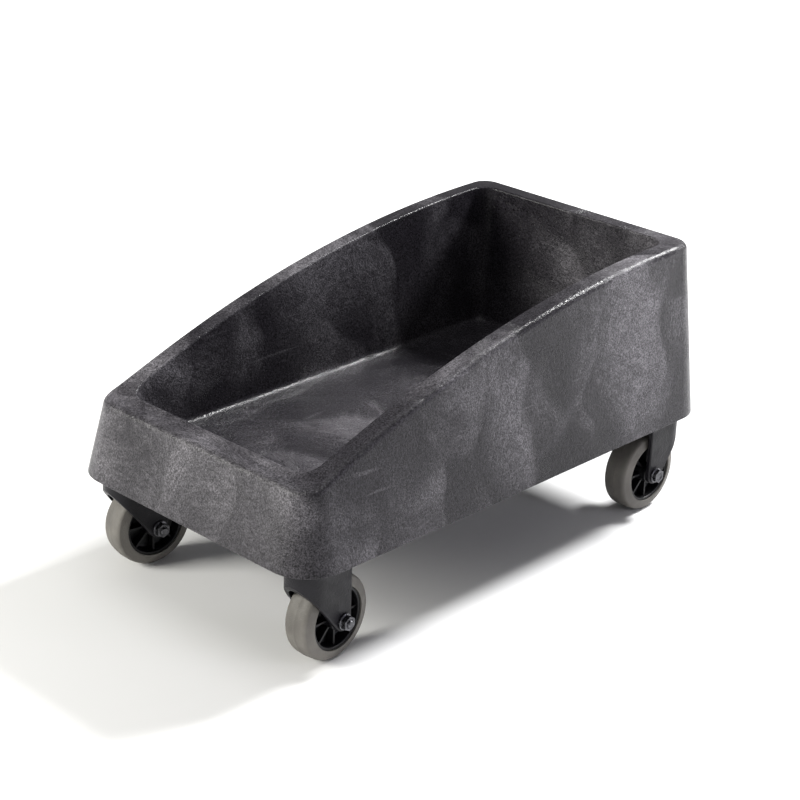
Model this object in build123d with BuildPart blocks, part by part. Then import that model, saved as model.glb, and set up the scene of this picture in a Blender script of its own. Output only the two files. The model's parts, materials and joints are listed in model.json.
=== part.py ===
from build123d import *
import os
from math import cos, exp, floor, pi, radians, sin, sqrt

# Slim container dolly: a moulded trough on four swivel casters.
# Millimetres. +Z up, ground at Z = 0, origin under the middle of the trough.
# The trough runs along Y; its low front end faces -Y and its high rear end faces +Y.

# ---- trough, outside ----
tub_length = 594.0          # at the skirt's lower edge, along Y
tub_width = 334.0           # at the skirt's lower edge, along X
corner_radius = 42.0        # plan corners at the skirt
wall_lean = 21.0            # how far the outer walls lean in, from skirt to rim
front_height = 77.5         # rim above skirt at the front end
rear_height = 188.0         # rim above skirt at the rear end
dip_setback = 32.0          # where the rim starts to rise, behind the front edge
crest_setback = 27.0        # where the rim levels out, ahead of the rear edge
dip_blend = 45.0            # radius between the level front rim and the rising rim
rim_round = 7.0             # outer shoulder of the rim
wall = 4.5                  # moulded wall thickness

# ---- trough, cavity ----
rim_side = 20.5             # level top of the rim along the sides
rim_front = 19.5
rim_rear = 23.0
floor_height = 33.0         # cavity floor above skirt
cavity_lean = 7.5           # how much the cavity widens from floor to rim
cavity_corner = 11.0        # plan corners at the cavity floor
floor_round = 6.0           # floor to cavity wall
lip_round = 2.0             # inner edge of the rim

# ---- underside ribs and pads ----
rib_width = 3.0
rib_pitch = 54.0
pad_depth = 6.0
pad_margin = 2.0
pad_recess = 3.1            # ribs and pads above the skirt's lower edge
boss_radius = 6.5
head_room = 1.0             # around the king pin's head and past the screw tips
skirt_edge = 0.8            # broken edge of the skirt

# ---- casters ----
caster_inset_x = 36.5       # swivel axes in from the skirt's lower edge
caster_inset_y = 39.0
caster_trail = 25.0         # axle behind the swivel axis
front_left_turn = -7.5      # free-standing angles of the front casters, degrees
front_right_turn = 3.5

# ---- wheel ----
wheel_diameter = 87.0
wheel_width = 31.0
tyre_depth = 11.5
tyre_round = 9.5
tyre_lip = 1.5              # hub rim set in from the tyre's side
hub_rim = 3.2
hub_web = 4.0
hub_boss_radius = 11.0
hub_ribs = 8
hub_rib_width = 2.4
hub_rib_setback = 3.5       # rib edges inside the hub rim's edge
sleeve_radius = 6.0
axle_radius = 4.0

# ---- fork ----
fork_gap = 2.2              # tyre side to fork leg
tyre_room = 1.5             # least space between the fork and any of the tyre
leg_thickness = 4.6
crown_gap = 4.0             # tyre to fork crown
crown_depth = 11.5
fork_eye = 10.3             # leg around the axle
fork_slope = 52.4           # leading edge of the leg above level, degrees
fork_round = 1.6
race_rise = 2.0
race_radius = 17.5
axle_boss_radius = 8.5
axle_boss_rise = 0.8

# ---- swivel bearing ----
race_gap = 2.6              # fork crown to plate
upper_ball = 4.8
upper_pitch = 14.0          # radius of the upper ball circle
lower_ball = 4.0
lower_pitch = 8.8
lower_gap = 2.0             # fork recess to lower race
lower_recess = 4.5
lower_race_radius = 12.0
lower_race_depth = 2.5
king_radius = 5.0
king_head_radius = 8.0
king_head_depth = 3.0
king_foot_depth = 2.0
seal_width = 1.2

# ---- plate and screws ----
plate_size = 48.0
plate_thickness = 3.0
plate_corner = 9.0
screw_spacing = 34.0
screw_radius = 2.5
screw_head_radius = 4.8
screw_length = 18.0
socket_radius = 1.6
socket_depth = 1.6

# ---- axle hardware ----
hex_flats = 13.0
flange_radius = 8.3
flange_depth = 1.6
bolt_head_depth = 5.5
nut_depth = 6.8
bolt_end = 2.0              # bolt past the nut
hex_chamfer = 0.8

# ---- clearances ----
running_fit = 0.08          # hub on sleeve
bolt_fit = 0.05             # bolt in sleeve and fork, screw in boss
free_gap = 0.3              # balls and seal to the turning fork
shaft_gap = 0.5             # king pin in the fork
hub_gap = 0.7               # hub boss to fork leg

# ---- levels ----
axle_level = wheel_diameter / 2
crown_level = wheel_diameter + crown_gap
shoulder_level = crown_level + crown_depth
race_level = shoulder_level + race_rise
plate_level = race_level + race_gap
pad_level = plate_level + plate_thickness
skirt_level = pad_level - pad_recess
floor_level = skirt_level + floor_height
rim_front_level = skirt_level + front_height
rim_rear_level = skirt_level + rear_height
recess_level = crown_level + lower_recess
lower_race_top = recess_level - lower_gap
lower_race_level = lower_race_top - lower_race_depth

# ---- derived outlines ----
half_length = tub_length / 2
half_width = tub_width / 2
caster_x = half_width - caster_inset_x
caster_y = half_length - caster_inset_y
dip_y = -half_length + dip_setback
crest_y = half_length - crest_setback
rim_run = crest_y - dip_y
rim_drop = rear_height - front_height
rim_radius = (rim_run**2 + rim_drop**2) / (2 * rim_drop)
cavity_half = half_width - wall_lean - rim_side - cavity_lean
cavity_front = -half_length + wall_lean + rim_front + cavity_lean
cavity_rear = half_length - wall_lean - rim_rear - cavity_lean
leg_inner = wheel_width / 2 + fork_gap
leg_outer = leg_inner + leg_thickness
leg_face = leg_outer + axle_boss_rise
overshoot = 1.12            # walls are drawn past the rim, then trimmed
undershoot = -0.06
ease_length = 20.0          # the walls' twist fades out towards the front corners
reach = 2 * tub_length      # longer than anything it cuts
sections = 14


def rim_at(y):
    back = max(crest_y - y, 0.0)
    return rear_height - (rim_radius - sqrt(rim_radius**2 - back**2))


# Height of the rim that a wall section leans towards.
def lean_height(y, start):
    return rim_at(y + ease_length * exp((start - y) / ease_length))


# A block with rounded corners whose walls are straight lines from a level outline
# up to the curved rim, so their slope changes along the length.
def leaning_block(half, front, rear, corner, base, lean, start, stop):
    first = front + corner
    last = rear - corner
    with BuildPart() as block:
        for step in range(sections + 1):
            y = first + (last - first) * (step / sections) ** 1.5
            rise = skirt_level + lean_height(y, first) - base
            low = base + start * rise
            high = base + stop * rise
            with BuildSketch(Plane.XZ.offset(-y)):
                with BuildLine():
                    Polyline(
                        (start * lean - half, low),
                        (half - start * lean, low),
                        (half - stop * lean, high),
                        (stop * lean - half, high),
                        close=True,
                    )
                make_face()
        loft()
        for y, side in ((first, -1), (last, 1)):
            rise = skirt_level + lean_height(y, first) - base
            for share in (start, stop):
                inset = share * lean
                with BuildSketch(Plane.XY.offset(base + share * rise)):
                    with Locations((0, (front + rear) / 2)):
                        RectangleRounded(2 * (half - inset), rear - front - 2 * inset, corner - inset)
                    with Locations((0, y + side * reach / 2)):
                        Rectangle(reach, reach, mode=Mode.INTERSECT)
            loft(ruled=True)
    return block.part


# Everything above the rim, lowered by a wall thickness for the hollow inside it.
def above_rim(drop):
    with BuildPart() as space:
        with BuildSketch(Plane.YZ):
            with BuildLine():
                rise = TangentArc((crest_y, rim_rear_level - drop), (dip_y, rim_front_level - drop), tangent=(-1, 0))
                Polyline(
                    rise @ 1,
                    (-reach, rim_front_level - drop),
                    (-reach, reach),
                    (reach, reach),
                    (reach, rim_rear_level - drop),
                    rise @ 0,
                )
            make_face()
            fillet(vertices().sort_by_distance((dip_y, rim_front_level - drop))[0], dip_blend)
        extrude(amount=reach, both=True)
    return space.part


os.makedirs("parts", exist_ok=True)

# Place of each caster, and how far it has swivelled from trailing to +Y, in degrees.
casters = {
    "front_left": (-caster_x, -caster_y, front_left_turn),
    "front_right": (caster_x, -caster_y, front_right_turn),
    "rear_left": (-caster_x, caster_y, 180),
    "rear_right": (caster_x, caster_y, 180),
}

# ---- trough ----

# Outer shape, trimmed to the rim line, with a rounded shoulder.
with BuildPart() as outer:
    add(leaning_block(half_width, -half_length, half_length, corner_radius, skirt_level, wall_lean, 0, overshoot))
    add(above_rim(0), mode=Mode.SUBTRACT)
    rim_faces = faces().filter_by(lambda face: face.normal_at().Z > 0.6)
    seam_limit = half_length - wall_lean - 1
    shoulder = rim_faces.edges().filter_by(
        lambda edge: abs(edge.tangent_at(0.5).X) < 0.99 or abs(edge.center().Y) > seam_limit
    )
    fillet(shoulder, rim_round)

# Room for the container.
with BuildPart() as cavity:
    add(
        leaning_block(
            cavity_half, cavity_front, cavity_rear, cavity_corner, floor_level, -cavity_lean, 0, overshoot
        )
    )
    fillet(faces().sort_by(Axis.Z)[0].edges(), floor_round)

# The space inside the double walls and under the floor, less the ribs, pads and bosses.
with BuildPart() as hollow:
    add(
        leaning_block(
            half_width - wall,
            wall - half_length,
            half_length - wall,
            corner_radius - wall,
            skirt_level,
            wall_lean,
            undershoot,
            overshoot,
        )
    )
    add(above_rim(wall), mode=Mode.SUBTRACT)
    add(
        leaning_block(
            cavity_half + wall,
            cavity_front - wall,
            cavity_rear + wall,
            cavity_corner + wall,
            floor_level - wall,
            -cavity_lean,
            0,
            overshoot,
        ),
        mode=Mode.SUBTRACT,
    )
    cross_ribs = 2 * floor((half_length - wall) / rib_pitch)
    with BuildSketch(Plane.XY.offset(pad_level)):
        with GridLocations(rib_pitch, rib_pitch, 1, cross_ribs):
            Rectangle(tub_width, rib_width)
    extrude(amount=reach, mode=Mode.SUBTRACT)
    long_ribs = 1 + 2 * floor(cavity_half / rib_pitch)
    with BuildSketch(Plane.XY.offset(pad_level)):
        with GridLocations(rib_pitch, rib_pitch, long_ribs, 1):
            Rectangle(rib_width, tub_length)
    extrude(amount=floor_height, mode=Mode.SUBTRACT)
    for corner_x in (-caster_x, caster_x):
        for corner_y in (-caster_y, caster_y):
            with BuildSketch(Plane.XY.offset(pad_level)):
                with Locations((corner_x, corner_y)):
                    pad_size = plate_size + 2 * pad_margin
                    RectangleRounded(pad_size, pad_size, plate_corner + pad_margin)
            extrude(amount=pad_depth, mode=Mode.SUBTRACT)
            with BuildSketch(Plane.XY.offset(pad_level)):
                with Locations((corner_x, corner_y)):
                    with GridLocations(screw_spacing, screw_spacing, 2, 2):
                        Circle(boss_radius)
            extrude(amount=floor_height, mode=Mode.SUBTRACT)
            with BuildSketch(Plane.XY.offset(pad_level)):
                with Locations((corner_x, corner_y)):
                    Circle(king_head_radius + head_room)
            extrude(amount=king_head_depth + head_room)
            with BuildSketch(Plane.XY.offset(pad_level)):
                with Locations((corner_x, corner_y)):
                    with GridLocations(screw_spacing, screw_spacing, 2, 2):
                        Circle(screw_radius + bolt_fit)
            extrude(amount=screw_length - plate_thickness + head_room)

with BuildPart() as tub_body:
    add(outer.part)
    add(cavity.part, mode=Mode.SUBTRACT)
    lip_x = cavity_half + cavity_lean + 1
    lip_y = half_length - wall_lean - rim_front + 1
    lip = faces().filter_by(lambda face: face.normal_at().Z > 0.6 and face.center().Z > rim_front_level - 1)
    fillet(
        lip.edges().filter_by(lambda edge: abs((edge @ 0.5).X) < lip_x and abs((edge @ 0.5).Y) < lip_y),
        lip_round,
    )
    skirt_edges = faces().sort_by(Axis.Z)[0].edges()
    fillet(skirt_edges, skirt_edge)
    add(hollow.part, mode=Mode.SUBTRACT)
tub_body.part.label = "tub_body"
export_step(tub_body.part, "parts/tub_body.step")

# ---- caster pieces, drawn with the swivel axis on Z and the wheel trailing to +Y ----
tail = caster_trail + fork_eye
slope = radians(fork_slope)
axle_axis = Axis((0, caster_trail, axle_level), (1, 0, 0))
wheel_section = Plane(origin=(0, caster_trail, axle_level), x_dir=(1, 0, 0), z_dir=(0, -1, 0))


# Plane facing along the axle, x from the wheel's middle.
def across_axle(x):
    return Plane(origin=(x, caster_trail, axle_level), x_dir=(0, 1, 0), z_dir=(1, 0, 0))


# Round channel that a ring of balls runs in.
def ball_track(pitch, level, radius):
    with BuildPart() as track:
        with BuildSketch(Plane.XZ):
            with Locations((pitch, level)):
                Circle(radius)
        revolve(axis=Axis.Z)
    return track.part


def ball_ring(pitch, level, diameter):
    count = floor(2 * pi * pitch / (diameter + 2 * free_gap))
    with BuildPart(Plane.XY.offset(level)) as ring:
        with PolarLocations(pitch, count):
            Sphere(diameter / 2)
    return ring.part


upper_level = race_level + race_gap / 2
lower_level = recess_level - lower_gap / 2

# Mounting plate with its pressed ball track and countersunk holes.
with BuildPart() as caster_plate:
    with BuildSketch(Plane.XY.offset(plate_level)):
        RectangleRounded(plate_size, plate_size, plate_corner)
        Circle(king_radius, mode=Mode.SUBTRACT)
    extrude(amount=plate_thickness)
    with Locations(Plane(origin=(0, 0, plate_level), x_dir=(1, 0, 0), z_dir=(0, 0, -1))):
        with GridLocations(screw_spacing, screw_spacing, 2, 2):
            CounterSinkHole(screw_radius + bolt_fit, screw_head_radius + bolt_fit, counter_sink_angle=90)
    add(ball_track(upper_pitch, upper_level, upper_ball / 2 + bolt_fit), mode=Mode.SUBTRACT)

# Countersunk screw, driven up through the plate into a pad boss.
with BuildPart() as screw:
    with BuildSketch(Plane.XZ):
        with BuildLine():
            Polyline(
                (0, plate_level),
                (screw_head_radius, plate_level),
                (screw_radius, plate_level + screw_head_radius - screw_radius),
                (screw_radius, plate_level + screw_length - screw_radius),
                (0, plate_level + screw_length),
                close=True,
            )
        make_face()
    revolve(axis=Axis.Z)
    with BuildSketch(Plane.XY.offset(plate_level)):
        RegularPolygon(socket_radius, 6)
    extrude(amount=socket_depth, mode=Mode.SUBTRACT)

with BuildPart() as plate_screws:
    with GridLocations(screw_spacing, screw_spacing, 2, 2):
        add(screw.part)

# Rivet that holds plate, fork and lower race together.
with BuildPart() as king_pin:
    with BuildSketch(Plane.XY.offset(lower_race_level - king_foot_depth)):
        Circle(king_head_radius)
    extrude(amount=king_foot_depth)
    with BuildSketch(Plane.XY.offset(pad_level)):
        Circle(king_head_radius)
    extrude(amount=king_head_depth)
    ends = faces().sort_by(Axis.Z)
    fillet(ends[0].edges() + ends[-1].edges(), king_foot_depth / 2)
    with BuildSketch(Plane.XY.offset(lower_race_level)):
        Circle(king_radius)
    extrude(amount=pad_level - lower_race_level)

# Cup that carries the lower balls.
with BuildPart() as lower_race:
    with BuildSketch(Plane.XY.offset(lower_race_level)):
        Circle(lower_race_radius)
        Circle(king_radius, mode=Mode.SUBTRACT)
    extrude(amount=lower_race_depth)
    add(ball_track(lower_pitch, lower_level, lower_ball / 2 + bolt_fit), mode=Mode.SUBTRACT)

# Skirted ring around the upper balls, fixed to the plate.
with BuildPart() as dust_seal:
    with BuildSketch(Plane.XY.offset(shoulder_level + 2 * free_gap)):
        Circle(race_radius + free_gap + seal_width)
        Circle(race_radius + free_gap, mode=Mode.SUBTRACT)
    extrude(amount=plate_level - shoulder_level - 2 * free_gap)

# Moulded fork: a channel with a round nose, cut to a slanting leading edge.
with BuildPart() as fork:
    with BuildSketch():
        Circle(leg_outer)
        with Locations((0, tail / 2)):
            Rectangle(2 * leg_outer, tail)
    extrude(amount=shoulder_level)
    with BuildSketch(Plane.YZ):
        with BuildLine():
            touch = (caster_trail - fork_eye * sin(slope), axle_level - fork_eye * cos(slope))
            nose = -leg_outer - 1
            nose_level = touch[1] + (touch[0] - nose) * sin(slope) / cos(slope)
            foot = ThreePointArc((tail, axle_level), (caster_trail, axle_level - fork_eye), touch)
            Polyline(
                foot @ 1,
                (nose, nose_level),
                (nose, shoulder_level),
                (tail, shoulder_level),
                foot @ 0,
            )
        make_face()
    extrude(amount=reach, both=True, mode=Mode.INTERSECT)
    outer_edges = edges().filter_by(lambda edge: (edge @ 0.5).Z > axle_level - 2 * fork_eye)
    fillet(outer_edges, fork_round)
    with BuildSketch():
        Circle(leg_inner)
        with Locations((0, tail / 2)):
            Rectangle(2 * leg_inner, tail)
    extrude(amount=crown_level, mode=Mode.SUBTRACT)
    with BuildSketch(wheel_section):
        with Locations((0, (axle_level + tyre_room) / 2)):
            Rectangle(wheel_width + 2 * tyre_room, axle_level + tyre_room)
        fillet(vertices().group_by(Axis.Y)[-1], tyre_round + tyre_room)
    revolve(axis=axle_axis, mode=Mode.SUBTRACT)
    with BuildSketch(Plane.XY.offset(shoulder_level)):
        Circle(race_radius)
    extrude(amount=race_rise)
    for side in (-1, 1):
        with BuildSketch(across_axle(side * leg_outer)):
            Circle(axle_boss_radius)
        extrude(amount=side * axle_boss_rise)
    with BuildSketch(Plane.XY.offset(crown_level)):
        Circle(lower_race_radius + head_room)
    extrude(amount=lower_recess, mode=Mode.SUBTRACT)
    with BuildSketch(Plane.XY.offset(crown_level)):
        Circle(king_radius + shaft_gap)
    extrude(amount=race_level - crown_level, mode=Mode.SUBTRACT)
    add(ball_track(upper_pitch, upper_level, upper_ball / 2 + free_gap), mode=Mode.SUBTRACT)
    add(ball_track(lower_pitch, lower_level, lower_ball / 2 + free_gap), mode=Mode.SUBTRACT)
    with BuildSketch(across_axle(0)):
        Circle(axle_radius + bolt_fit)
    extrude(amount=reach, both=True, mode=Mode.SUBTRACT)

# Tyre, moulded onto the hub.
tyre_inner = wheel_diameter / 2 - tyre_depth
with BuildPart() as tyre:
    with BuildSketch(wheel_section):
        with Locations((0, tyre_inner + tyre_depth / 2)):
            Rectangle(wheel_width, tyre_depth)
        fillet(vertices().group_by(Axis.Y)[-1], tyre_round)
    revolve(axis=axle_axis)

# Hub: rim, web, boss and ribs, turning on the sleeve.
hub_half = wheel_width / 2 - tyre_lip
boss_half = leg_inner - hub_gap
hub_bore = sleeve_radius + running_fit
boss_wall = hub_boss_radius - hub_bore
rib_inner = hub_boss_radius - boss_wall / 2
rib_outer = tyre_inner - hub_rim / 2
with BuildPart() as wheel_hub:
    with BuildSketch(wheel_section):
        with Locations((0, tyre_inner - hub_rim / 2)):
            Rectangle(2 * hub_half, hub_rim)
        with Locations((0, (rib_inner + rib_outer) / 2)):
            Rectangle(hub_web, rib_outer - rib_inner)
        with Locations((0, hub_bore + boss_wall / 2)):
            Rectangle(2 * boss_half, boss_wall)
    revolve(axis=axle_axis)
    with BuildSketch(across_axle(0)):
        with PolarLocations((rib_inner + rib_outer) / 2, hub_ribs):
            Rectangle(rib_outer - rib_inner, hub_rib_width)
    extrude(amount=hub_half - hub_rib_setback, both=True)

# Steel tube that the wheel turns on, clamped between the fork legs.
with BuildPart() as axle_sleeve:
    with BuildSketch(across_axle(-leg_inner)):
        Circle(sleeve_radius)
        Circle(axle_radius + bolt_fit, mode=Mode.SUBTRACT)
    extrude(amount=2 * leg_inner)


# Flanged hexagon, used for the bolt's head and for the nut.
def flanged_hex(face, side, depth):
    with BuildPart() as head:
        with BuildSketch(across_axle(side * face)):
            Circle(flange_radius)
        extrude(amount=side * flange_depth)
        with BuildSketch(across_axle(side * (face + flange_depth))):
            RegularPolygon(hex_flats / 2, 6, major_radius=False)
        extrude(amount=side * (depth - flange_depth))
        chamfer(faces().sort_by(Axis((0, 0, 0), (side, 0, 0)))[-1].edges(), hex_chamfer)
    return head.part


with BuildPart() as axle_bolt:
    add(flanged_hex(leg_face, -1, bolt_head_depth))
    with BuildSketch(across_axle(-leg_face)):
        Circle(axle_radius)
    extrude(amount=2 * leg_face + nut_depth + bolt_end)
    chamfer(faces().sort_by(Axis.X)[-1].edges(), hex_chamfer)

with BuildPart() as axle_nut:
    add(flanged_hex(leg_face, 1, nut_depth))
    with BuildSketch(across_axle(leg_face)):
        Circle(axle_radius + bolt_fit)
    extrude(amount=nut_depth, mode=Mode.SUBTRACT)

fixed_pieces = {
    "caster_plate": caster_plate.part,
    "plate_screws": plate_screws.part,
    "king_pin": king_pin.part,
    "upper_balls": ball_ring(upper_pitch, upper_level, upper_ball),
    "lower_balls": ball_ring(lower_pitch, lower_level, lower_ball),
    "lower_race": lower_race.part,
    "dust_seal": dust_seal.part,
}
turning_pieces = {
    "fork": fork.part,
    "tyre": tyre.part,
    "wheel_hub": wheel_hub.part,
    "axle_sleeve": axle_sleeve.part,
    "axle_bolt": axle_bolt.part,
    "axle_nut": axle_nut.part,
}

for corner, (x, y, turn) in casters.items():
    for pieces, angle in ((fixed_pieces, 0), (turning_pieces, turn)):
        for piece, shape in pieces.items():
            with BuildPart() as placed:
                with Locations(Location((x, y, 0), (0, 0, angle))):
                    add(shape)
            placed.part.label = f"{piece}_{corner}"
            export_step(placed.part, f"parts/{placed.part.label}.step")
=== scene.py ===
import json
import math

import bmesh
import bpy
from mathutils import Matrix, Vector


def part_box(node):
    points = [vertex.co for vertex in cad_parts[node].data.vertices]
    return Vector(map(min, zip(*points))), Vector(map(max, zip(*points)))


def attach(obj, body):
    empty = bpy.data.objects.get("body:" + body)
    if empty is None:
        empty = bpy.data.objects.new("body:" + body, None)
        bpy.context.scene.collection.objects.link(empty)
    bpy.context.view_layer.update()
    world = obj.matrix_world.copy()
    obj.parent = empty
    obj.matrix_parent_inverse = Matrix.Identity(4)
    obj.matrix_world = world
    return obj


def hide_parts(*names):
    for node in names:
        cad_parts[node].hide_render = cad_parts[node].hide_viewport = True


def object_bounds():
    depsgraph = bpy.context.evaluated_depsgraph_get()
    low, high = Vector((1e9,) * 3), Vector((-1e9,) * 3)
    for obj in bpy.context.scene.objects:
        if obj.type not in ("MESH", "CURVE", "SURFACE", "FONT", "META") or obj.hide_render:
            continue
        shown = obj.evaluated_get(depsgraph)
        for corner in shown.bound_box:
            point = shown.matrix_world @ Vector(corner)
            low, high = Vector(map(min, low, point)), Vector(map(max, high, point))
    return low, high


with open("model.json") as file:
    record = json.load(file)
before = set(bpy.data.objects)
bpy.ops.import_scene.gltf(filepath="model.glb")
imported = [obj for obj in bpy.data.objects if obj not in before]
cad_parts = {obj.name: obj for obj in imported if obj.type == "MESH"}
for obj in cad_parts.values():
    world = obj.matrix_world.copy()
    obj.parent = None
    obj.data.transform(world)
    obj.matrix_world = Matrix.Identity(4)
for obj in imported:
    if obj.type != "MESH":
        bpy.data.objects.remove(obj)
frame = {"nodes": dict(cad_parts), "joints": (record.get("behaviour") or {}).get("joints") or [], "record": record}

cadLow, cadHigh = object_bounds()
corners = ("front_left", "front_right", "rear_left", "rear_right")
floatKind = "NodeSocketFloat"
vectorKind = "NodeSocketVector"
wholeKind = "NodeSocketInt"
print("frame loaded")


# node tree helpers, for shader groups, materials and geometry trees alike

def addNode(tree, kind, values=None, **settings):
    node = tree.nodes.new(kind)
    for name, value in settings.items():
        setattr(node, name, value)
    for name, value in (values or {}).items():
        socket = node.inputs[name]
        if isinstance(value, bpy.types.NodeSocket):
            tree.links.new(value, socket)
        else:
            socket.default_value = value
    return node


def mathOp(tree, operation, first, second=0.0, clamp=False):
    node = addNode(tree, "ShaderNodeMath", {0: first, 1: second}, operation=operation, use_clamp=clamp)
    return node.outputs[0]


def vectorOp(tree, operation, first, second, output=0):
    node = addNode(tree, "ShaderNodeVectorMath", {0: first, 1: second}, operation=operation)
    return node.outputs[output]


def scaled(tree, vector, amount):
    node = addNode(tree, "ShaderNodeVectorMath", {0: vector, "Scale": amount}, operation="SCALE")
    return node.outputs[0]


def mapRange(tree, value, low, high, newLow=0.0, newHigh=1.0, smooth=True):
    kind = "SMOOTHSTEP" if smooth else "LINEAR"
    sockets = {"Value": value, "From Min": low, "From Max": high, "To Min": newLow, "To Max": newHigh}
    return addNode(tree, "ShaderNodeMapRange", sockets, interpolation_type=kind).outputs["Result"]


def mixColour(tree, factor, first, second, blend="MIX"):
    node = addNode(tree, "ShaderNodeMix", data_type="RGBA", blend_type=blend)
    for index, value in ((0, factor), (6, first), (7, second)):     # the colour mix's own sockets
        if isinstance(value, bpy.types.NodeSocket):
            tree.links.new(value, node.inputs[index])
        else:
            node.inputs[index].default_value = value
    return node.outputs[2]


def noiseAt(tree, vector, scale, detail=2.0, roughness=0.5, distortion=0.0, output="Fac"):
    sockets = {"Vector": vector, "Scale": scale, "Detail": detail}
    sockets.update({"Roughness": roughness, "Distortion": distortion})
    return addNode(tree, "ShaderNodeTexNoise", sockets).outputs[output]


def stretched(tree, vector, turn, scale, place=(0, 0, 0)):
    sockets = {"Vector": vector, "Location": place, "Rotation": turn, "Scale": scale}
    return addNode(tree, "ShaderNodeMapping", sockets).outputs[0]


def newGroup(name, kind, inputs, outputs):
    group = bpy.data.node_groups.new(name, kind)
    for label, socketKind, default in inputs:
        socket = group.interface.new_socket(label, in_out="INPUT", socket_type=socketKind)
        if default is not None:
            socket.default_value = default
    for label, socketKind in outputs:
        group.interface.new_socket(label, in_out="OUTPUT", socket_type=socketKind)
    return group, addNode(group, "NodeGroupInput").outputs, addNode(group, "NodeGroupOutput").inputs


def placeGroup(tree, group, values):
    return addNode(tree, "ShaderNodeGroup", values, node_tree=group).outputs


flowShape = {
    "warpScale": 6.0,
    "warpDepth": 0.12,
    "layers": (                      # size, shift and share of each layer of fans
        (1.0, (0.0, 0.0, 0.0), 1.0),
        (1.9, (0.31, 0.17, 0.23), 0.75),
    ),
    "squash": (1.0, 1.0, 0.62),      # fans stand taller than wide
    "softness": 0.22,
    "randomness": 0.95,
    "heading": (0.25, 0.75, 0.3),    # the way most fans run
    "headingSpread": 1.3,
    "fade": (-0.4, 0.6),
    "fadePower": 1.7,
    "patchScale": 5.0,
    "patchEdges": (0.13, 0.1),
    "swirlAxis": (0.4, 0.3, 1.0),
    "swirlTurn": 3.0,
    "wispLean": (0.7, 0.5, 0.4),
    "wispStretch": (1.0, 0.09, 1.0),
    "wispCut": (0.36, 0.7),
    "wispShade": (0.62, 1.2),
}


# flow fronts of a foamed melt: overlapping fans, each pale along its leading edge and fading behind it,
# brushed with fine wisps that run their own way in every fan
def makeFlowMarks(shape):
    inputs = [("Vector", vectorKind, None), ("Fan Scale", floatKind, 7.0)]
    inputs += [("Wisp Scale", floatKind, 90.0), ("Cover", floatKind, 0.5)]
    outputs = [("Fans", floatKind), ("Wisps", floatKind)]
    group, given, result = newGroup("flowMarks", "ShaderNodeTree", inputs, outputs)
    place = given["Vector"]
    warp = noiseAt(group, place, shape["warpScale"], output="Color")
    warp = vectorOp(group, "SUBTRACT", warp, (0.5, 0.5, 0.5))
    bent = vectorOp(group, "ADD", place, scaled(group, warp, shape["warpDepth"]))
    fanLayers = []
    for size, shift, share in shape["layers"]:
        lean = stretched(group, bent, (0.0, 0.0, 0.0), shape["squash"], shift)
        density = mathOp(group, "MULTIPLY", given["Fan Scale"], size)
        sockets = {"Vector": lean, "Scale": density}
        sockets.update({"Smoothness": shape["softness"], "Randomness": shape["randomness"]})
        cells = addNode(group, "ShaderNodeTexVoronoi", sockets, feature="SMOOTH_F1")
        behind = vectorOp(group, "SUBTRACT", lean, cells.outputs["Position"])
        chance = vectorOp(group, "SUBTRACT", cells.outputs["Color"], (0.5, 0.5, 0.5))
        ahead = vectorOp(group, "ADD", scaled(group, chance, shape["headingSpread"]), shape["heading"])
        along = vectorOp(group, "DOT_PRODUCT", behind, ahead, "Value")
        along = mathOp(group, "MULTIPLY", along, density)
        fan = mathOp(group, "POWER", mapRange(group, along, *shape["fade"]), shape["fadePower"])
        fanLayers.append(mathOp(group, "MULTIPLY", fan, share))
    fans = mathOp(group, "MAXIMUM", *fanLayers)
    cover = mathOp(group, "SUBTRACT", 1.0, given["Cover"])
    below, above = shape["patchEdges"]
    below = mathOp(group, "SUBTRACT", cover, below)
    above = mathOp(group, "ADD", cover, above)
    patch = noiseAt(group, bent, shape["patchScale"], detail=4.0, roughness=0.6)
    patch = mapRange(group, patch, below, above)
    # the wisps turn with the cells of the finer layer, the last one made
    turn = mathOp(group, "MULTIPLY", cells.outputs["Color"], shape["swirlTurn"])
    sockets = {"Vector": bent, "Axis": shape["swirlAxis"], "Angle": turn}
    swirl = addNode(group, "ShaderNodeVectorRotate", sockets, rotation_type="AXIS_ANGLE").outputs[0]
    brushed = stretched(group, swirl, shape["wispLean"], shape["wispStretch"])
    wisps = noiseAt(group, brushed, given["Wisp Scale"], detail=5.0, roughness=0.62, distortion=0.5)
    wisps = mapRange(group, wisps, *shape["wispCut"])
    streaks = mapRange(group, wisps, 0.0, 1.0, *shape["wispShade"])
    shade = mathOp(group, "MULTIPLY", mathOp(group, "MULTIPLY", fans, patch), streaks)
    group.links.new(shade, result["Fans"])
    group.links.new(wisps, result["Wisps"])
    return group


grainShape = {
    "softShare": 0.45,       # scale of the soft swell, as a share of the grain's
    "pitScale": 260.0,
    "pitCut": (0.62, 0.72),
}


# fine grain of a moulded or cast skin, as a height
def makeSkinGrain(shape):
    inputs = [("Vector", vectorKind, None), ("Grain Scale", floatKind, 600.0), ("Pits", floatKind, 0.3)]
    group, given, result = newGroup("skinGrain", "ShaderNodeTree", inputs, [("Height", floatKind)])
    place = given["Vector"]
    sockets = {"Vector": place, "Scale": given["Grain Scale"]}
    cells = addNode(group, "ShaderNodeTexVoronoi", sockets, feature="SMOOTH_F1").outputs["Distance"]
    softScale = mathOp(group, "MULTIPLY", given["Grain Scale"], shape["softShare"])
    soft = noiseAt(group, place, softScale, detail=3.0, roughness=0.6)
    pits = mapRange(group, noiseAt(group, place, shape["pitScale"], detail=1.0), *shape["pitCut"])
    height = mathOp(group, "ADD", cells, soft)
    height = mathOp(group, "SUBTRACT", height, mathOp(group, "MULTIPLY", pits, given["Pits"]))
    group.links.new(height, result["Height"])
    return group


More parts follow.
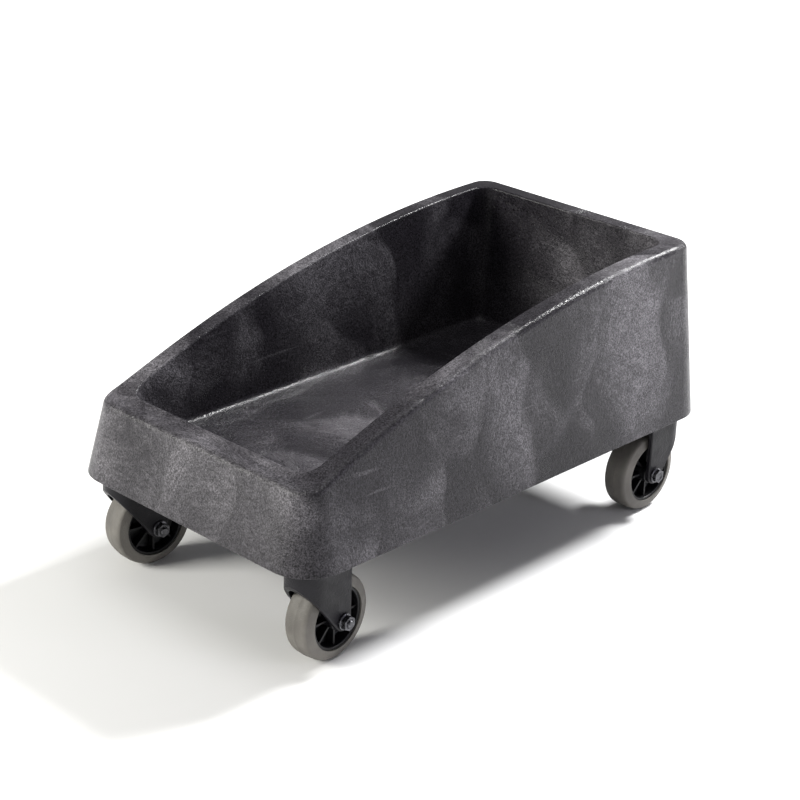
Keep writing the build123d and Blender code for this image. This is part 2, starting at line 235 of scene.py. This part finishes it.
scuffShape = {
    "turns": ((0.3, 0.9, 0.2), (1.1, 0.2, 0.8)),     # two ways that the scratches run
    "stretch": (1.0, 0.05, 1.0),
    "fineness": 9.0,
    "lineCut": (0.66, 0.74),
    "patchCut": (0.52, 0.66),
}


# thin scuffs and scratches from use, as a mask
def makeScuffs(shape):
    inputs = [("Vector", vectorKind, None), ("Scuff Scale", floatKind, 30.0), ("Amount", floatKind, 0.3)]
    group, given, result = newGroup("scuffs", "ShaderNodeTree", inputs, [("Mask", floatKind)])
    lines = []
    for turn in shape["turns"]:
        thin = stretched(group, given["Vector"], turn, shape["stretch"])
        density = mathOp(group, "MULTIPLY", given["Scuff Scale"], shape["fineness"])
        lines.append(mapRange(group, noiseAt(group, thin, density), *shape["lineCut"]))
    where = mapRange(group, noiseAt(group, given["Vector"], given["Scuff Scale"]), *shape["patchCut"])
    both = mathOp(group, "MULTIPLY", mathOp(group, "MAXIMUM", *lines), where)
    mask = mathOp(group, "MULTIPLY", both, given["Amount"], clamp=True)
    group.links.new(mask, result["Mask"])
    return group


flowMarks = makeFlowMarks(flowShape)
skinGrain = makeSkinGrain(grainShape)
scuffs = makeScuffs(scuffShape)


def newMaterial(name):
    material = bpy.data.materials.new(name)
    material.use_nodes = True
    tree = material.node_tree
    place = addNode(tree, "ShaderNodeTexCoord").outputs["Object"]
    return material, tree, tree.nodes["Principled BSDF"], place


# a skin grain with anything else that stands proud, as the shader's normal
def addGrain(tree, shader, place, look, extra=None):
    sockets = {"Vector": place, "Grain Scale": look["grainScale"], "Pits": look["pits"]}
    height = placeGroup(tree, skinGrain, sockets)["Height"]
    if extra is not None:
        height = mathOp(tree, "ADD", height, extra)
    bump = addNode(tree, "ShaderNodeBump", {"Height": height, "Distance": look["grainDepth"]})
    tree.links.new(bump.outputs["Normal"], shader.inputs["Normal"])


def wornAt(tree, place, look):
    sockets = {"Vector": place, "Scuff Scale": look["scuffScale"], "Amount": look["wear"]}
    return placeGroup(tree, scuffs, sockets)["Mask"]


foamLook = {
    "shift": (0.37, 0.22, 0.05),     # where the pattern lies on the tub
    "dark": (0.0098, 0.0087, 0.0115, 1),
    "smoke": (0.15, 0.143, 0.156, 1),
    "fans": 0.95,
    "fanScale": 5.6,
    "wispScale": 170.0,
    "wispHeight": 0.35,
    "cover": 0.55,
    "haze": (0.026, 0.13),           # least and most
    "hazeScale": 3.5,
    "hazeCut": (0.3, 0.75),
    # fine pale and dark specks in the colour: partly grain, partly painted glints standing in for light glancing
    # off the pebbly skin
    "fleckAndPaintedGlint": 0.68,
    "fleckAndGlintScale": 620.0,
    "fleckAndGlintCut": (0.36, 0.66),
    "scuffScale": 14.0,
    "wear": 0.21,
    "smooth": 0.2,
    "dull": 0.46,
    "grainScale": 760.0,
    "grainDepth": 0.0003,
    "pits": 0.4,
    "specular": 0.19,
}


def makeFoamPlastic(look):
    material, tree, shader, place = newMaterial("charcoalFoam")
    sockets = {"Vector": vectorOp(tree, "ADD", place, look["shift"]), "Cover": look["cover"]}
    sockets.update({"Fan Scale": look["fanScale"], "Wisp Scale": look["wispScale"]})
    marks = placeGroup(tree, flowMarks, sockets)
    haze = noiseAt(tree, place, look["hazeScale"], detail=3.0)
    haze = mapRange(tree, haze, *look["hazeCut"], *look["haze"])
    # painted glints: pale specks multiplied into the base colour stand in for light glancing off the pebbly skin,
    # mixed with real grain tone
    fleckAndPaintedGlint = noiseAt(tree, place, look["fleckAndGlintScale"], detail=3.0, roughness=0.7, distortion=0.6)
    fleckAndPaintedGlint = mapRange(tree, fleckAndPaintedGlint, *look["fleckAndGlintCut"])
    fleckAndPaintedGlint = mapRange(tree, fleckAndPaintedGlint, 0.0, 1.0, 1.0 - look["fleckAndPaintedGlint"], 1.0 + look["fleckAndPaintedGlint"], smooth=False)
    pale = mathOp(tree, "ADD", mathOp(tree, "MULTIPLY", marks["Fans"], look["fans"]), haze)
    pale = mathOp(tree, "ADD", pale, wornAt(tree, place, look), clamp=True)
    tinted = mixColour(tree, pale, look["dark"], look["smoke"])
    tree.links.new(mixColour(tree, 1.0, tinted, fleckAndPaintedGlint, "MULTIPLY"), shader.inputs["Base Color"])
    rough = mapRange(tree, pale, 0.0, 1.0, look["smooth"], look["dull"], smooth=False)
    tree.links.new(rough, shader.inputs["Roughness"])
    addGrain(tree, shader, place, look, mathOp(tree, "MULTIPLY", marks["Wisps"], look["wispHeight"]))
    shader.inputs["Specular IOR Level"].default_value = look["specular"]
    return material


plasticSkin = {
    "cloudCut": (0.3, 0.7),
    "cloudShade": (0.8, 1.2),
    "roughScale": 90.0,
    "roughCut": (0.3, 0.7),
    "roughLess": 0.06,
    "roughMore": 0.08,
    "wornRoughness": 0.2,
}
plasticLooks = {
    "satinBlack": {
        "colour": (0.009, 0.0084, 0.011, 1),
        "worn": (0.06, 0.06, 0.065, 1),
        "cloudScale": 40.0,
        "scuffScale": 60.0,
        "wear": 0.5,
        "roughness": 0.42,
        "grainScale": 1100.0,
        "grainDepth": 0.00025,
        "pits": 0.2,
        "specular": 0.22,
    },
    "hubBlack": {
        "colour": (0.004, 0.004, 0.005, 1),
        "worn": (0.03, 0.03, 0.033, 1),
        "cloudScale": 60.0,
        "scuffScale": 70.0,
        "wear": 0.3,
        "roughness": 0.38,
        "grainScale": 1200.0,
        "grainDepth": 0.00015,
        "pits": 0.2,
        "specular": 0.28,
    },
    "greyTread": {
        "colour": (0.13, 0.122, 0.111, 1),
        "worn": (0.09, 0.085, 0.08, 1),
        "cloudScale": 32.0,
        "scuffScale": 45.0,
        "wear": 0.45,
        "roughness": 0.6,
        "grainScale": 900.0,
        "grainDepth": 0.0002,
        "pits": 0.2,
        "specular": 0.35,
    },
}


def makePlainPlastic(name, skin):
    look = plasticLooks[name]
    material, tree, shader, place = newMaterial(name)
    cloud = noiseAt(tree, place, look["cloudScale"], detail=3.0)
    cloud = mapRange(tree, cloud, *skin["cloudCut"], *skin["cloudShade"])
    tinted = mixColour(tree, 1.0, look["colour"], cloud, "MULTIPLY")
    worn = wornAt(tree, place, look)
    tree.links.new(mixColour(tree, worn, tinted, look["worn"]), shader.inputs["Base Color"])
    least, most = look["roughness"] - skin["roughLess"], look["roughness"] + skin["roughMore"]
    rough = noiseAt(tree, place, skin["roughScale"], detail=3.0)
    rough = mapRange(tree, rough, *skin["roughCut"], least, most)
    rough = mathOp(tree, "ADD", rough, mathOp(tree, "MULTIPLY", worn, skin["wornRoughness"]))
    tree.links.new(rough, shader.inputs["Roughness"])
    addGrain(tree, shader, place, look)
    shader.inputs["Specular IOR Level"].default_value = look["specular"]
    return material


steelSkin = {
    "mottleScale": 300.0,
    "mottleCut": (0.35, 0.7),
    "mottleShade": (0.7, 1.15),
    "scuffScale": 120.0,
    "wear": 0.6,
    "roughScale": 500.0,
    "roughCut": (0.3, 0.7),
    "roughLess": 0.08,
    "roughMore": 0.12,
    "grainScale": 1500.0,
    "grainDepth": 0.00004,
    "pits": 0.1,
}
steelLooks = {
    "zincSteel": {"colour": (0.42, 0.43, 0.45, 1), "worn": (0.6, 0.6, 0.6, 1), "roughness": 0.35},
    "darkSteel": {"colour": (0.12, 0.12, 0.13, 1), "worn": (0.4, 0.4, 0.4, 1), "roughness": 0.3},
    "ballSteel": {"colour": (0.68, 0.68, 0.7, 1), "worn": (0.5, 0.5, 0.5, 1), "roughness": 0.14},
}


def makeSteel(name, skin):
    look = steelLooks[name]
    material, tree, shader, place = newMaterial(name)
    mottled = noiseAt(tree, place, skin["mottleScale"], detail=4.0)
    mottled = mapRange(tree, mottled, *skin["mottleCut"], *skin["mottleShade"])
    tinted = mixColour(tree, 1.0, look["colour"], mottled, "MULTIPLY")
    worn = wornAt(tree, place, skin)
    tree.links.new(mixColour(tree, worn, tinted, look["worn"]), shader.inputs["Base Color"])
    shader.inputs["Metallic"].default_value = 1.0
    least, most = look["roughness"] - skin["roughLess"], look["roughness"] + skin["roughMore"]
    rough = noiseAt(tree, place, skin["roughScale"], detail=3.0)
    rough = mapRange(tree, rough, *skin["roughCut"], least, most)
    tree.links.new(rough, shader.inputs["Roughness"])
    addGrain(tree, shader, place, skin)
    return material


materials = {
    "tub_plastic": makeFoamPlastic(foamLook),
    "black_plastic": makePlainPlastic("satinBlack", plasticSkin),
    "hub_plastic": makePlainPlastic("hubBlack", plasticSkin),
    "grey_tread": makePlainPlastic("greyTread", plasticSkin),
    "zinc_steel": makeSteel("zincSteel", steelSkin),
    "dark_steel": makeSteel("darkSteel", steelSkin),
    "ball_steel": makeSteel("ballSteel", steelSkin),
}
slotOf = {entry["node"]: entry["material_slot"] for entry in frame["record"]["subparts"]}
for name, node in frame["nodes"].items():
    node.data.materials.clear()
    node.data.materials.append(materials[slotOf[name]])
print("materials made")


# geometry trees for what repeats: each joins its copies to the piece that it is given

def newGeometryTree(name, inputs):
    sockets = [("Geometry", "NodeSocketGeometry", None), *inputs, ("Material", "NodeSocketMaterial", None)]
    return newGroup(name, "GeometryNodeTree", sockets, [("Geometry", "NodeSocketGeometry")])


def endTree(tree, given, result, copies):
    both = addNode(tree, "GeometryNodeJoinGeometry")
    for part in (given["Geometry"], copies):
        if part is not None:
            tree.links.new(part, both.inputs[0])
    solid = addNode(tree, "GeometryNodeRealizeInstances", {"Geometry": both.outputs[0]})
    sockets = {"Geometry": solid.outputs[0], "Material": given["Material"]}
    painted = addNode(tree, "GeometryNodeSetMaterial", sockets)
    tree.links.new(painted.outputs[0], result["Geometry"])
    return tree


# copies of one part round an axis
def copiesRound(tree, count, part, axis):
    points = addNode(tree, "GeometryNodePoints", {"Count": count}).outputs[0]
    step = mathOp(tree, "DIVIDE", math.tau, count)
    angle = mathOp(tree, "MULTIPLY", addNode(tree, "GeometryNodeInputIndex").outputs[0], step)
    turn = addNode(tree, "FunctionNodeEulerToRotation", {0: scaled(tree, axis, angle)}).outputs[0]
    sockets = {"Points": points, "Instance": part, "Rotation": turn}
    return addNode(tree, "GeometryNodeInstanceOnPoints", sockets).outputs[0]


def makeRibTree():
    inputs = [("Count", wholeKind, 8), ("Size", vectorKind, None), ("Radius", floatKind, 0.02)]
    tree, given, result = newGeometryTree("hubRibs", inputs)
    slab = addNode(tree, "GeometryNodeMeshCube", {"Size": given["Size"]}).outputs[0]
    lift = addNode(tree, "ShaderNodeCombineXYZ", {"Z": given["Radius"]}).outputs[0]
    raised = addNode(tree, "GeometryNodeTransform", {"Geometry": slab, "Translation": lift}).outputs[0]
    return endTree(tree, given, result, copiesRound(tree, given["Count"], raised, (1.0, 0.0, 0.0)))


def makeBallTree():
    inputs = [("Count", wholeKind, 12), ("Segments", wholeKind, 24), ("Rings", wholeKind, 14)]
    inputs += [("Ball Radius", floatKind, 0.002), ("Pitch Radius", floatKind, 0.01)]
    tree, given, result = newGeometryTree("ballRing", inputs)
    sockets = {"Segments": given["Segments"], "Rings": given["Rings"], "Radius": given["Ball Radius"]}
    ball = addNode(tree, "GeometryNodeMeshUVSphere", sockets).outputs[0]
    smooth = addNode(tree, "GeometryNodeSetShadeSmooth", {"Geometry": ball}).outputs[0]
    out = addNode(tree, "ShaderNodeCombineXYZ", {"X": given["Pitch Radius"]}).outputs[0]
    placed = addNode(tree, "GeometryNodeTransform", {"Geometry": smooth, "Translation": out}).outputs[0]
    return endTree(tree, given, result, copiesRound(tree, given["Count"], placed, (0.0, 0.0, 1.0)))


# one screw at each corner of a square; the screw that it is given is only the pattern
def makeScrewTree():
    tree, given, result = newGeometryTree("screwSet", [("Spacing", floatKind, 0.034)])
    sockets = {"Size X": given["Spacing"], "Size Y": given["Spacing"], "Vertices X": 2, "Vertices Y": 2}
    grid = addNode(tree, "GeometryNodeMeshGrid", sockets).outputs[0]
    sockets = {"Points": grid, "Instance": given["Geometry"]}
    copies = addNode(tree, "GeometryNodeInstanceOnPoints", sockets).outputs[0]
    return endTree(tree, {"Geometry": None, "Material": given["Material"]}, result, copies)


# a ridge of square section, wound on its edge along X
def makeThreadTree():
    inputs = [("Thread Radius", floatKind, 0.004), ("Pitch", floatKind, 0.00125), ("Steps", wholeKind, 40)]
    inputs += [("Length", floatKind, 0.002), ("Start", floatKind, 0.0), ("Ridge", floatKind, 0.0004)]
    tree, given, result = newGeometryTree("boltThread", inputs)
    turns = mathOp(tree, "DIVIDE", given["Length"], given["Pitch"])
    sockets = {"Resolution": given["Steps"], "Rotations": turns, "Height": given["Length"]}
    sockets.update({"Start Radius": given["Thread Radius"], "End Radius": given["Thread Radius"]})
    helix = addNode(tree, "GeometryNodeCurveSpiral", sockets).outputs[0]
    sockets = {"Resolution": 4, "Radius": given["Ridge"]}
    ridge = addNode(tree, "GeometryNodeCurvePrimitiveCircle", sockets).outputs[0]
    sockets = {"Curve": helix, "Profile Curve": ridge, "Fill Caps": True}
    wound = addNode(tree, "GeometryNodeCurveToMesh", sockets).outputs[0]
    shift = addNode(tree, "ShaderNodeCombineXYZ", {"X": given["Start"]}).outputs[0]
    sockets = {"Geometry": wound, "Translation": shift, "Rotation": (0.0, math.pi / 2, 0.0)}
    laid = addNode(tree, "GeometryNodeTransform", sockets).outputs[0]
    return endTree(tree, given, result, laid)


# what a tree makes from a mesh, as a plain mesh
def grownMesh(name, start, tree, material, values):
    holder = bpy.data.objects.new(name, start)
    bpy.context.scene.collection.objects.link(holder)
    modifier = holder.modifiers.new(name, "NODES")
    modifier.node_group = tree
    wanted = {**values, "Material": material}
    for item in tree.interface.items_tree:
        if item.in_out == "INPUT" and item.name in wanted:
            modifier[item.identifier] = wanted[item.name]
    evaluated = holder.evaluated_get(bpy.context.evaluated_depsgraph_get())
    result = bpy.data.meshes.new_from_object(evaluated)
    holder.modifiers.remove(modifier)
    bpy.data.objects.remove(holder)
    return result


# a closed shape turned about X, from rings that each give (x, radius) at an angle; radius 0 is a pole
def turnedMesh(name, rings, steps, looped=False, sharp=32.0):
    shape = bmesh.new()
    loops = []
    for ring in rings:
        around = [ring(math.tau * step / steps) for step in range(steps)]
        if around[0][1] == 0:
            loops.append([shape.verts.new((around[0][0], 0, 0))])
            continue
        turned = []
        for step, (x, radius) in enumerate(around):
            angle = math.tau * step / steps
            turned.append(shape.verts.new((x, radius * math.sin(angle), radius * math.cos(angle))))
        loops.append(turned)
    following = loops[1:] + loops[:1] if looped else loops[1:]
    for first, second in zip(loops, following):
        for step in range(steps):
            ahead = (step + 1) % steps
            ends = [first[step % len(first)], first[ahead % len(first)]]
            ends += [second[ahead % len(second)], second[step % len(second)]]
            shape.faces.new(list(dict.fromkeys(ends)))      # at a pole two ends are one
    bmesh.ops.recalc_face_normals(shape, faces=shape.faces)
    for face in shape.faces:
        face.smooth = True
    for edge in shape.edges:
        edge.smooth = edge.calc_face_angle(0.0) < math.radians(sharp)
    mesh = bpy.data.meshes.new(name)
    shape.to_mesh(mesh)
    shape.free()
    return mesh


def plainRings(profile):
    return [lambda angle, spot=spot: spot for spot in profile]


def mirrored(profile):
    return profile + [(-x, radius) for x, radius in reversed(profile)]


def hexRadius(angle, apothem):
    return apothem / math.cos((angle % (math.pi / 3)) - math.pi / 6)


def addPiece(name, mesh, place, body, slotName, *nodes):
    mesh.name = name
    mesh.transform(place)
    if not mesh.materials:
        mesh.materials.append(materials[slotName])
    piece = bpy.data.objects.new(name, mesh)
    bpy.context.scene.collection.objects.link(piece)
    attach(piece, body)
    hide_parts(*nodes)
    return piece


def halfSpan(node, axis):
    low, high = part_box(node)
    return (high[axis] - low[axis]) / 2


jointOf = {joint["name"]: joint for joint in frame["joints"]}


# where a caster's axle and swivel stand, its own X along the axle and its wheel trailing to +Y
def casterPlaces(corner):
    pivot = Vector(jointOf["swivel_" + corner]["pos_m"])
    axle = Vector(jointOf["wheel_" + corner]["pos_m"])
    turn = math.atan2(pivot.x - axle.x, axle.y - pivot.y)
    atAxle = Matrix.Translation(axle) @ Matrix.Rotation(turn, 4, "Z")
    return atAxle, Matrix.Translation((pivot.x, pivot.y, 0))


# the wheel is a moulded tread on a ribbed hub; its sizes come from a wheel that stands square
tyreLook = {
    "steps": 144,
    "sideFlat": 0.0018,      # flat ring next to the hub
    "sideStep": (0.0003, 0.0007),
    "ringSlope": 0.0021,     # how far the side leans in up to the tread's edge
    "shoulder": 0.0031,      # tread's edge below the tread
    "shoulderEase": (0.0002, 0.0006),
    "shoulderBend": ((0.0, 0.0), (0.0005, 0.0007), (0.0014, 0.0014), (0.0028, 0.0021)),
    "crownStart": 0.0052,
    "crownMiddle": 0.0040,
    "crown": 0.00035,
    "crownLeft": 0.3,        # share of the crown still to rise at its middle
    "seamWidth": 0.0005,
    "seamRise": 0.00018,
}
hubLook = {
    "steps": 128,
    "lip": 0.0015,           # rim set in from the tyre's side
    "lipDrop": 0.0009,
    "lipEase": 0.0005,
    "rim": 0.0032,
    "rimDraft": 0.0003,
    "web": 0.0020,
    "boss": 0.0110,
    "draft": 0.0002,
    "bossEase": 0.0006,
    "corner": 0.0018,
    "cornerBow": (0.3, 0.5),
    "ribs": 8,
    "ribWidth": 0.0024,
    "ribSetback": 0.0035,
    "ribRoot": 0.0015,       # how deep the ribs stand in the boss and in the rim
    "ribTip": 0.0010,
    "boreGap": 0.0001,
    "bevel": 0.00035,
    "bevelAngle": 50.0,
}
wheelRadius = halfSpan("tyre_rear_right", 2)
tyreHalf = halfSpan("tyre_rear_right", 0)
hubRadius = halfSpan("wheel_hub_rear_right", 2)
bossHalf = halfSpan("wheel_hub_rear_right", 0)
sleeveRadius = halfSpan("axle_sleeve_rear_right", 2)


def makeTyre(look):
    edge = tyreHalf - look["ringSlope"]
    low = wheelRadius - look["shoulder"]
    top = wheelRadius - look["seamRise"]
    stepIn, stepOut = look["sideStep"]
    easeOut, easeDown = look["shoulderEase"]
    side = [
        (tyreHalf, hubRadius),
        (tyreHalf, hubRadius + look["sideFlat"]),
        (tyreHalf - stepIn, hubRadius + look["sideFlat"] + stepOut),
        (edge + easeOut, low - easeDown),
    ]
    side += [(edge - inwards, low + up) for inwards, up in look["shoulderBend"]]
    side += [
        (edge - look["crownStart"], top - look["crown"]),
        (look["crownMiddle"], top - look["crownLeft"] * look["crown"]),
        (2 * look["seamWidth"], top),
        (look["seamWidth"], wheelRadius),
    ]
    return turnedMesh("tyre", plainRings(mirrored(side)), look["steps"], looped=True, sharp=50.0)


def makeHub(look):
    rimHalf = tyreHalf - look["lip"]
    rimInner = hubRadius - look["rim"]
    web, boss, corner = look["web"], look["boss"], look["corner"]
    bowOut, bowIn = (share * corner for share in look["cornerBow"])
    side = [
        (rimHalf, hubRadius),
        (rimHalf, rimInner + look["lipDrop"]),
        (rimHalf - look["lipEase"], rimInner + look["draft"]),
        (web + corner, rimInner - look["rimDraft"]),
        (web + bowOut, rimInner - bowIn),
        (web, rimInner - corner),
        (web, boss + corner),
        (web + bowOut, boss + bowIn),
        (web + corner, boss + look["draft"]),
        (bossHalf - look["bossEase"], boss),
        (bossHalf, boss - look["bossEase"]),
        (bossHalf, sleeveRadius + look["boreGap"]),
    ]
    shell = turnedMesh("hubShell", plainRings(mirrored(side)), look["steps"], looped=True)
    inner, outer = boss - look["ribRoot"], rimInner + look["ribTip"]
    size = (2 * (rimHalf - look["ribSetback"]), look["ribWidth"], outer - inner)
    values = {"Count": look["ribs"], "Size": size, "Radius": (inner + outer) / 2}
    return grownMesh("hubRibs", shell, ribTree, materials["hub_plastic"], values)


# the axle is a flanged bolt along the caster's own X, with its head at the -X end and its nut at +X
axleLook = {
    "steps": 72,
    "radius": 0.0040,
    "apothem": 0.0065,
    "flange": 0.0083,
    "flangeDepth": 0.0011,
    "flangeEase": 0.0003,
    "hexRise": 0.0005,
    "trim": 0.0001,
    "chamfer": 0.0069,       # radius where the hexagon's corners are turned off
    "chamferSlope": 0.6,
    "dish": 0.0036,          # the sunk face of the head, its rim and its depth
    "dishRim": 0.0044,
    "dishDepth": 0.0008,
    "pitch": 0.00125,
    "ridge": 0.00034,
    "threadSteps": 40,
    "threadStart": 0.0020,   # hidden in the nut
    "threadShort": 0.0008,   # bare end of the bolt
    "endEase": 0.0007,
    "endDrop": 0.0009,
    "boreGap": 0.00005,
    "boreEase": 0.0006,
}
axleX = jointOf["wheel_rear_right"]["pos_m"][0]
nutEnds = sorted(abs(end.x - axleX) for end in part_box("axle_nut_rear_right"))
boltEnds = sorted(abs(end.x - axleX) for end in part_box("axle_bolt_rear_right"))


# rings of a flanged hexagon from its seat outwards; side is 1 or -1 along X
def hexRings(look, seat, height, side):
    flange, apothem, chamfer, trim = (look[key] for key in ("flange", "apothem", "chamfer", "trim"))
    ease, depth = look["flangeEase"], look["flangeDepth"]

    def cut(angle):
        return max(0.0, hexRadius(angle, apothem) - chamfer) * look["chamferSlope"]

    return [
        lambda angle: (side * seat, flange - ease),
        lambda angle: (side * (seat + ease), flange),
        lambda angle: (side * (seat + depth), flange - trim),
        lambda angle: (side * (seat + depth + look["hexRise"]), hexRadius(angle, apothem) + trim),
        lambda angle: (side * (seat + height - trim - cut(angle)), hexRadius(angle, apothem)),
        lambda angle: (side * (seat + height), min(hexRadius(angle, apothem), chamfer) - trim),
    ]


def makeBolt(look):
    seat, radius = nutEnds[0], look["radius"]
    headEnd, boltEnd = boltEnds
    sunk = look["dishDepth"] - headEnd
    root = radius - look["ridge"]
    rings = plainRings([(sunk, 0), (sunk, look["dish"]), (-headEnd, look["dishRim"])])
    rings += reversed(hexRings(look, seat, headEnd - seat, -1))
    shank = [(-seat, radius), (boltEnd - look["endEase"], root), (boltEnd, radius - look["endDrop"])]
    rings += plainRings(shank + [(boltEnd, 0)])
    start = nutEnds[1] - look["threadStart"]
    values = {
        "Thread Radius": root,
        "Pitch": look["pitch"],
        "Steps": look["threadSteps"],
        "Length": boltEnd - look["threadShort"] - start,
        "Start": start,
        "Ridge": look["ridge"],
    }
    plain = turnedMesh("boltShank", rings, look["steps"])
    return grownMesh("boltThread", plain, threadTree, materials["dark_steel"], values)


def makeNut(look):
    seat, end = nutEnds
    bore = look["radius"] + look["boreGap"]
    rings = plainRings([(seat, bore)]) + hexRings(look, seat, end - seat, 1)
    rings += plainRings([(end, bore + look["boreEase"]), (end - look["boreEase"], bore)])
    return turnedMesh("nut", rings, look["steps"], looped=True)


screwLook = {
    "steps": 48,
    "spacing": 0.034,
    "head": 0.0048,
    "headEase": 0.0002,
    "shank": 0.0025,
    "socket": 0.0014,
    "socketDepth": 0.0016,
}


# the screw is turned about X with its head at 0, then stood upright, head down
def makeScrews(look):
    low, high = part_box("plate_screws_rear_right")
    length = high.z - low.z
    head, shank, deep = look["head"], look["shank"], look["socketDepth"]
    rings = [
        lambda angle: (deep, 0),
        lambda angle: (deep, hexRadius(angle, look["socket"])),
        lambda angle: (0.0, hexRadius(angle, look["socket"])),
    ]
    outside = [(0.0, head - look["headEase"]), (look["headEase"], head)]
    outside += [(head - shank, shank), (length - shank, shank), (length, 0)]
    screw = turnedMesh("screw", rings + plainRings(outside), look["steps"])
    screw.transform(Matrix.Translation((0, 0, low.z)) @ Matrix.Rotation(-math.pi / 2, 4, "Y"))
    return grownMesh("screwSet", screw, screwTree, materials["dark_steel"], {"Spacing": look["spacing"]})


ballLook = {"segments": 24, "rings": 14, "counts": {"upper_balls": 16, "lower_balls": 12}}


def makeBalls(kind, look):
    low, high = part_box(kind + "_rear_right")
    radius = (high.z - low.z) / 2
    values = {
        "Count": look["counts"][kind],
        "Segments": look["segments"],
        "Rings": look["rings"],
        "Ball Radius": radius,
        "Pitch Radius": (high.x - low.x) / 2 - radius,
    }
    balls = grownMesh(kind, bpy.data.meshes.new(kind), ballTree, materials["ball_steel"], values)
    balls.transform(Matrix.Translation((0, 0, (low.z + high.z) / 2)))
    return balls


ribTree = makeRibTree()
ballTree = makeBallTree()
screwTree = makeScrewTree()
threadTree = makeThreadTree()
for corner in corners:
    atAxle, atPivot = casterPlaces(corner)
    wheel, swivel = "wheel_" + corner, "swivel_" + corner
    addPiece("moulded_tyre_" + corner, makeTyre(tyreLook), atAxle, wheel, "grey_tread", "tyre_" + corner)
    hubNode = "wheel_hub_" + corner
    hub = addPiece("ribbed_hub_" + corner, makeHub(hubLook), atAxle, wheel, "hub_plastic", hubNode)
    bevel = hub.modifiers.new("softEdges", "BEVEL")
    bevel.width = hubLook["bevel"]
    bevel.segments = 2
    bevel.angle_limit = math.radians(hubLook["bevelAngle"])
    boltNode, nutNode, screwNode = "axle_bolt_" + corner, "axle_nut_" + corner, "plate_screws_" + corner
    addPiece("threaded_bolt_" + corner, makeBolt(axleLook), atAxle, swivel, "dark_steel", boltNode)
    addPiece("flanged_nut_" + corner, makeNut(axleLook), atAxle, swivel, "dark_steel", nutNode)
    addPiece("socket_screws_" + corner, makeScrews(screwLook), atPivot, "root", "dark_steel", screwNode)
    for kind in ballLook["counts"]:
        ballNode = kind + "_" + corner
        addPiece("steel_" + ballNode, makeBalls(kind, ballLook), atPivot, "root", "ball_steel", ballNode)
    print("caster made:", corner)


# floor, light and camera
stageLook = {
    "floor": (0.82, 0.82, 0.82, 1),
    "floorReach": 8.0,
    "floorRoughness": 0.9,
    "floorSpecular": 0.1,
    "glowReach": (0.5, 3.0),     # where the floor begins to glow and where it glows fully
    "farGlow": 0.95,
    "world": 0.22,
    "lamps": {
        "frontLamp": {"power": 84.0, "size": 1.0, "place": (-1.15, -2.2, 1.2), "tint": (1.0, 0.99, 0.93)},
        "backLamp": {"power": 290.0, "size": 0.8, "place": (0.5, 2.9, 2.75), "tint": (1.0, 1.0, 1.0)},
        "sideLamp": {"power": 9.0, "size": 0.9, "place": (2.2, 0.75, 0.8), "tint": (0.9, 0.88, 1.0)},
        "topLamp": {"power": 14.0, "size": 1.6, "place": (0.0, -0.2, 2.5), "tint": (1.0, 1.0, 1.0)},
    },
}
viewPoint = {
    "azimuth": 43.14,
    "elevation": 23.43,
    "roll": 2.08,
    "distance": 1.7728,
    "target": (0.18435, -0.20285, 0.2669),
    "lens": 91.52,
    "sensor": 36.0,
    "nearest": 0.05,
}


def makeFloor(look):
    reach = look["floorReach"]
    edge = [(-reach, -reach, 0), (reach, -reach, 0), (reach, reach, 0), (-reach, reach, 0)]
    mesh = bpy.data.meshes.new("floor")
    mesh.from_pydata(edge, [], [(0, 1, 2, 3)])
    floor = bpy.data.objects.new("floor", mesh)
    bpy.context.scene.collection.objects.link(floor)
    material, tree, shader, place = newMaterial("paleFloor")
    shader.inputs["Base Color"].default_value = look["floor"]
    shader.inputs["Roughness"].default_value = look["floorRoughness"]
    shader.inputs["Specular IOR Level"].default_value = look["floorSpecular"]
    outwards = vectorOp(tree, "LENGTH", place, (0, 0, 0), "Value")
    glow = mapRange(tree, outwards, *look["glowReach"], 0.0, look["farGlow"])
    tree.links.new(glow, shader.inputs["Emission Color"])
    shader.inputs["Emission Strength"].default_value = 1.0
    mesh.materials.append(material)


def lightStage(look):
    world = bpy.data.worlds.new("studio")
    world.use_nodes = True
    background = world.node_tree.nodes["Background"]
    background.inputs["Color"].default_value = (1, 1, 1, 1)
    background.inputs["Strength"].default_value = look["world"]
    bpy.context.scene.world = world
    bpy.context.scene.view_settings.view_transform = "Standard"
    middle = (cadLow + cadHigh) / 2
    for name, settings in look["lamps"].items():
        lamp = bpy.data.lights.new(name, "AREA")
        lamp.energy = settings["power"]
        lamp.size = settings["size"]
        lamp.color = settings["tint"]
        holder = bpy.data.objects.new(name, lamp)
        bpy.context.scene.collection.objects.link(holder)
        holder.location = settings["place"]
        holder.rotation_euler = (middle - Vector(settings["place"])).to_track_quat("-Z", "Y").to_euler()


def placeCamera(view):
    azimuth, elevation, roll = (math.radians(view[key]) for key in ("azimuth", "elevation", "roll"))
    level = math.cos(elevation)
    back = Vector((math.sin(azimuth) * level, -math.cos(azimuth) * level, math.sin(elevation)))
    camera = bpy.data.objects.new("camera", bpy.data.cameras.new("camera"))
    camera.data.lens = view["lens"]
    camera.data.sensor_width = view["sensor"]
    camera.data.clip_start = view["nearest"]
    camera.location = Vector(view["target"]) + back * view["distance"]
    facing = (-back).to_track_quat("-Z", "Y").to_matrix()
    camera.rotation_euler = (facing @ Matrix.Rotation(roll, 3, "Z")).to_euler()
    bpy.context.scene.collection.objects.link(camera)
    bpy.context.scene.camera = camera


makeFloor(stageLook)
lightStage(stageLook)
placeCamera(viewPoint)
print("stage set")
